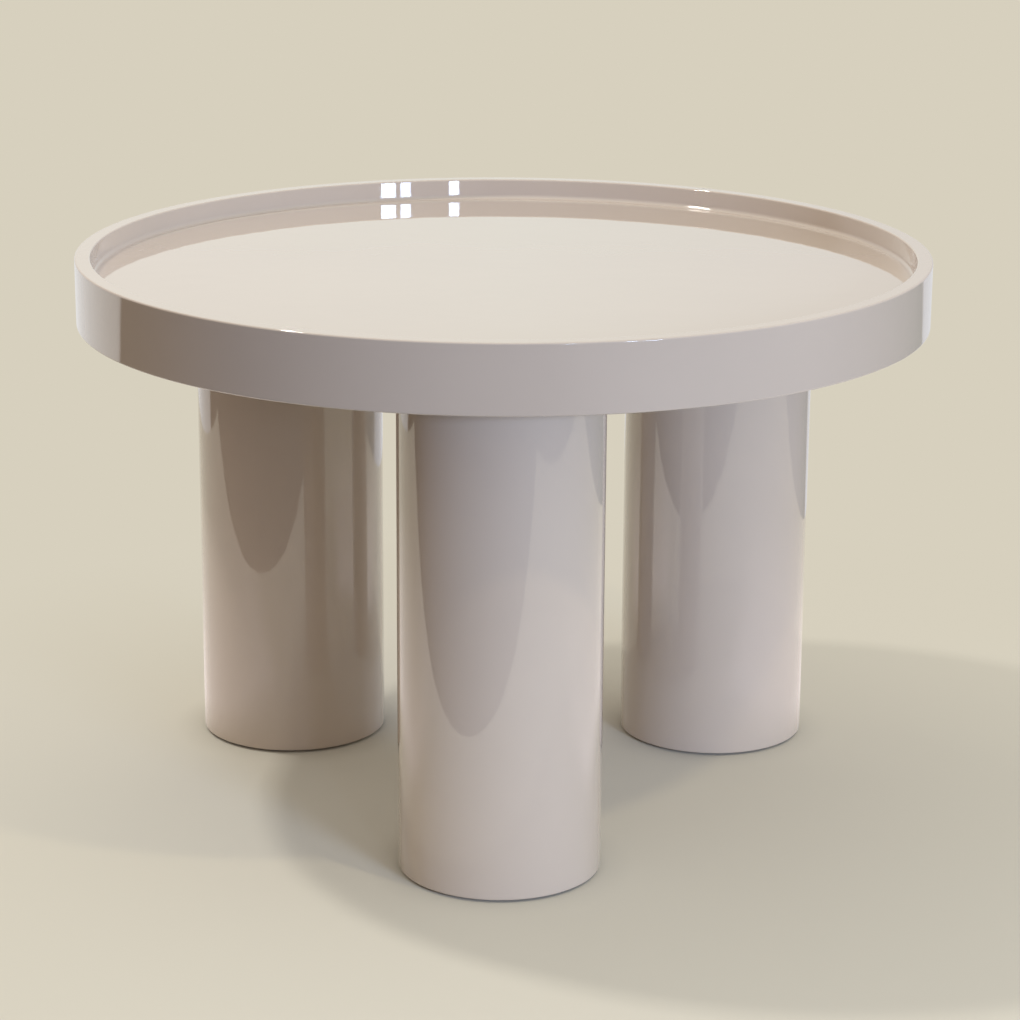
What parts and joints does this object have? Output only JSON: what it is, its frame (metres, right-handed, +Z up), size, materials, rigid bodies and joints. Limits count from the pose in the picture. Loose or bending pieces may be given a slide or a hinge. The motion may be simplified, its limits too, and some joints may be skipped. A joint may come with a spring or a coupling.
{
  "type": "round cocktail table",
  "caption": "Round low table in high-gloss taupe lacquer: a tray top with a raised rim on thick drum legs, each with a screw-out levelling glide in its foot.",
  "frame": {"origin": "on the floor, under the centre of the round top", "axes": "+Z up; -Y towards the front leg; +X to the right seen from the front"},
  "size_m": [0.71, 0.71, 0.46],
  "materials": {
    "lacquer": "gloss lacquer",
    "underside_paint": "satin paint",
    "fibreboard": "matte",
    "zinc_steel": "satin",
    "black_nylon": "matte"
  },
  "bodies": {
    "table": {"rim_band": "lacquer", "tray_panel": "lacquer", "sub_top": "underside_paint", "panel_screws": "zinc_steel", "leg_shell_front": "lacquer", "leg_top_plug_front": "fibreboard", "leg_former_front": "fibreboard", "leg_base_plug_front": "underside_paint", "stud_plate_front": "zinc_steel", "plate_screws_front": "zinc_steel", "leg_tee_nut_front": "zinc_steel", "glide_tee_nut_front": "zinc_steel", "leg_shell_right": "lacquer", "leg_top_plug_right": "fibreboard", "leg_former_right": "fibreboard", "leg_base_plug_right": "underside_paint", "stud_plate_right": "zinc_steel", "plate_screws_right": "zinc_steel", "leg_tee_nut_right": "zinc_steel", "glide_tee_nut_right": "zinc_steel", "leg_shell_left": "lacquer", "leg_top_plug_left": "fibreboard", "leg_former_left": "fibreboard", "leg_base_plug_left": "underside_paint", "stud_plate_left": "zinc_steel", "plate_screws_left": "zinc_steel", "leg_tee_nut_left": "zinc_steel", "glide_tee_nut_left": "zinc_steel"},
    "glide_pad_front": {"glide_pad_front": "black_nylon"},
    "glide_stem_front": {"glide_stem_front": "zinc_steel"},
    "glide_pad_right": {"glide_pad_right": "black_nylon"},
    "glide_stem_right": {"glide_stem_right": "zinc_steel"},
    "glide_pad_left": {"glide_pad_left": "black_nylon"},
    "glide_stem_left": {"glide_stem_left": "zinc_steel"}
  },
  "joints": [
    {"name": "glide_travel_front", "type": "slide", "parent": "table", "child": "glide_pad_front", "axis": [0, 0, -1], "range_m": [0, 0.012]},
    {"name": "glide_turn_front", "type": "hinge", "parent": "glide_pad_front", "child": "glide_stem_front", "pos_m": [0, -0.218, 0.02], "axis": [0, 0, -1], "range_deg": [0, 2880]},
    {"name": "glide_travel_right", "type": "slide", "parent": "table", "child": "glide_pad_right", "axis": [0, 0, -1], "range_m": [0, 0.012]},
    {"name": "glide_turn_right", "type": "hinge", "parent": "glide_pad_right", "child": "glide_stem_right", "pos_m": [0.18879, 0.109, 0.02], "axis": [0, 0, -1], "range_deg": [0, 2880]},
    {"name": "glide_travel_left", "type": "slide", "parent": "table", "child": "glide_pad_left", "axis": [0, 0, -1], "range_m": [0, 0.012]},
    {"name": "glide_turn_left", "type": "hinge", "parent": "glide_pad_left", "child": "glide_stem_left", "pos_m": [-0.18879, 0.109, 0.02], "axis": [0, 0, -1], "range_deg": [0, 2880]}
  ],
  "couplings": [
    {"joint": "glide_turn_front", "follows": "glide_travel_front", "rad_per_m": 4188.8},
    {"joint": "glide_turn_right", "follows": "glide_travel_right", "rad_per_m": 4188.8},
    {"joint": "glide_turn_left", "follows": "glide_travel_left", "rad_per_m": 4188.8}
  ]
}
